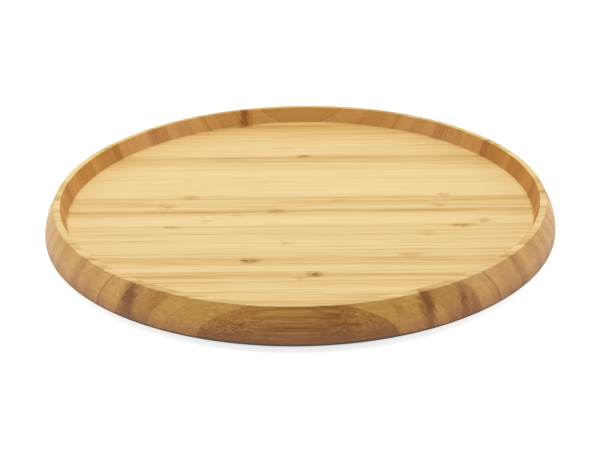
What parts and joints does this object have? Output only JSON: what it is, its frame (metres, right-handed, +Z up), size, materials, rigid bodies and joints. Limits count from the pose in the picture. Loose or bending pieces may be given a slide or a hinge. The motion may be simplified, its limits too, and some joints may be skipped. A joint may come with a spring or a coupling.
{
  "type": "lazy susan turntable",
  "caption": "Round dished bamboo tray with a flared edge that spins on a hidden flat ball bearing over a low base disc with rubber feet.",
  "frame": {"origin": "on the table under the spin axis, at the underside of the rubber feet", "axes": "+Z up along the spin axis, +X along the bamboo strips, +Y across them, away from the front"},
  "size_m": [0.39, 0.39, 0.028],
  "materials": {
    "bamboo_tray": "side-pressed natural bamboo, sanded, clear satin lacquer",
    "bamboo_disc": "natural bamboo, sanded, clear matt sealer",
    "race_steel": "pressed and polished steel strip, lightly greased",
    "ball_steel": "polished bearing steel",
    "zinc_plated_steel": "bright zinc plating",
    "screw_steel": "bright zinc plating, worn in the slots",
    "moulded_cage": "moulded natural polypropylene",
    "nylon_bush": "moulded natural nylon",
    "acetal_washer": "stamped white acetal sheet",
    "foot_rubber": "moulded dark rubber, matt"
  },
  "bodies": {
    "base": {"base_disc": "bamboo_disc", "lower_race": "race_steel", "pivot_bush": "nylon_bush", "rubber_foot_1": "foot_rubber", "rubber_foot_2": "foot_rubber", "rubber_foot_3": "foot_rubber", "rubber_foot_4": "foot_rubber", "rubber_foot_5": "foot_rubber", "rubber_foot_6": "foot_rubber"},
    "tray": {"tray": "bamboo_tray", "upper_race": "race_steel", "pivot_plate": "zinc_plated_steel", "pivot_plate_screws": "screw_steel", "pivot_stud": "zinc_plated_steel", "thrust_washer": "acetal_washer", "steel_washer": "zinc_plated_steel", "thin_nut": "zinc_plated_steel"},
    "cage": {"ball_cage": "moulded_cage"},
    "ball_01": {"ball_01": "ball_steel"},
    "ball_02": {"ball_02": "ball_steel"},
    "ball_03": {"ball_03": "ball_steel"},
    "ball_04": {"ball_04": "ball_steel"},
    "ball_05": {"ball_05": "ball_steel"},
    "ball_06": {"ball_06": "ball_steel"},
    "ball_07": {"ball_07": "ball_steel"},
    "ball_08": {"ball_08": "ball_steel"},
    "ball_09": {"ball_09": "ball_steel"},
    "ball_10": {"ball_10": "ball_steel"},
    "ball_11": {"ball_11": "ball_steel"},
    "ball_12": {"ball_12": "ball_steel"},
    "ball_13": {"ball_13": "ball_steel"},
    "ball_14": {"ball_14": "ball_steel"},
    "ball_15": {"ball_15": "ball_steel"},
    "ball_16": {"ball_16": "ball_steel"}
  },
  "joints": [
    {"name": "tray_spin", "type": "hinge", "parent": "base", "child": "tray", "pos_m": [0, 0, 0], "axis": [0, 0, 1], "continuous": true},
    {"name": "cage_spin", "type": "hinge", "parent": "base", "child": "cage", "pos_m": [0, 0, 0], "axis": [0, 0, 1], "continuous": true},
    {"name": "ball_01_roll", "type": "hinge", "parent": "cage", "child": "ball_01", "pos_m": [0.095, 0, 0.00825], "axis": [1, 0, 0], "continuous": true},
    {"name": "ball_02_roll", "type": "hinge", "parent": "cage", "child": "ball_02", "pos_m": [0.08777, 0.03635, 0.00825], "axis": [0.9239, 0.3827, 0], "continuous": true},
    {"name": "ball_03_roll", "type": "hinge", "parent": "cage", "child": "ball_03", "pos_m": [0.06718, 0.06718, 0.00825], "axis": [0.7071, 0.7071, 0], "continuous": true},
    {"name": "ball_04_roll", "type": "hinge", "parent": "cage", "child": "ball_04", "pos_m": [0.03635, 0.08777, 0.00825], "axis": [0.3827, 0.9239, 0], "continuous": true},
    {"name": "ball_05_roll", "type": "hinge", "parent": "cage", "child": "ball_05", "pos_m": [0, 0.095, 0.00825], "axis": [0, 1, 0], "continuous": true},
    {"name": "ball_06_roll", "type": "hinge", "parent": "cage", "child": "ball_06", "pos_m": [-0.03635, 0.08777, 0.00825], "axis": [-0.3827, 0.9239, 0], "continuous": true},
    {"name": "ball_07_roll", "type": "hinge", "parent": "cage", "child": "ball_07", "pos_m": [-0.06718, 0.06718, 0.00825], "axis": [-0.7071, 0.7071, 0], "continuous": true},
    {"name": "ball_08_roll", "type": "hinge", "parent": "cage", "child": "ball_08", "pos_m": [-0.08777, 0.03635, 0.00825], "axis": [-0.9239, 0.3827, 0], "continuous": true},
    {"name": "ball_09_roll", "type": "hinge", "parent": "cage", "child": "ball_09", "pos_m": [-0.095, 0, 0.00825], "axis": [-1, 0, 0], "continuous": true},
    {"name": "ball_10_roll", "type": "hinge", "parent": "cage", "child": "ball_10", "pos_m": [-0.08777, -0.03635, 0.00825], "axis": [-0.9239, -0.3827, 0], "continuous": true},
    {"name": "ball_11_roll", "type": "hinge", "parent": "cage", "child": "ball_11", "pos_m": [-0.06718, -0.06718, 0.00825], "axis": [-0.7071, -0.7071, 0], "continuous": true},
    {"name": "ball_12_roll", "type": "hinge", "parent": "cage", "child": "ball_12", "pos_m": [-0.03635, -0.08777, 0.00825], "axis": [-0.3827, -0.9239, 0], "continuous": true},
    {"name": "ball_13_roll", "type": "hinge", "parent": "cage", "child": "ball_13", "pos_m": [0, -0.095, 0.00825], "axis": [0, -1, 0], "continuous": true},
    {"name": "ball_14_roll", "type": "hinge", "parent": "cage", "child": "ball_14", "pos_m": [0.03635, -0.08777, 0.00825], "axis": [0.3827, -0.9239, 0], "continuous": true},
    {"name": "ball_15_roll", "type": "hinge", "parent": "cage", "child": "ball_15", "pos_m": [0.06718, -0.06718, 0.00825], "axis": [0.7071, -0.7071, 0], "continuous": true},
    {"name": "ball_16_roll", "type": "hinge", "parent": "cage", "child": "ball_16", "pos_m": [0.08777, -0.03635, 0.00825], "axis": [0.9239, -0.3827, 0], "continuous": true}
  ],
  "couplings": [
    {"joint": "cage_spin", "follows": "tray_spin", "ratio": 0.5},
    {"joint": "ball_01_roll", "follows": "tray_spin", "ratio": -19},
    {"joint": "ball_02_roll", "follows": "tray_spin", "ratio": -19},
    {"joint": "ball_03_roll", "follows": "tray_spin", "ratio": -19},
    {"joint": "ball_04_roll", "follows": "tray_spin", "ratio": -19},
    {"joint": "ball_05_roll", "follows": "tray_spin", "ratio": -19},
    {"joint": "ball_06_roll", "follows": "tray_spin", "ratio": -19},
    {"joint": "ball_07_roll", "follows": "tray_spin", "ratio": -19},
    {"joint": "ball_08_roll", "follows": "tray_spin", "ratio": -19},
    {"joint": "ball_09_roll", "follows": "tray_spin", "ratio": -19},
    {"joint": "ball_10_roll", "follows": "tray_spin", "ratio": -19},
    {"joint": "ball_11_roll", "follows": "tray_spin", "ratio": -19},
    {"joint": "ball_12_roll", "follows": "tray_spin", "ratio": -19},
    {"joint": "ball_13_roll", "follows": "tray_spin", "ratio": -19},
    {"joint": "ball_14_roll", "follows": "tray_spin", "ratio": -19},
    {"joint": "ball_15_roll", "follows": "tray_spin", "ratio": -19},
    {"joint": "ball_16_roll", "follows": "tray_spin", "ratio": -19}
  ]
}
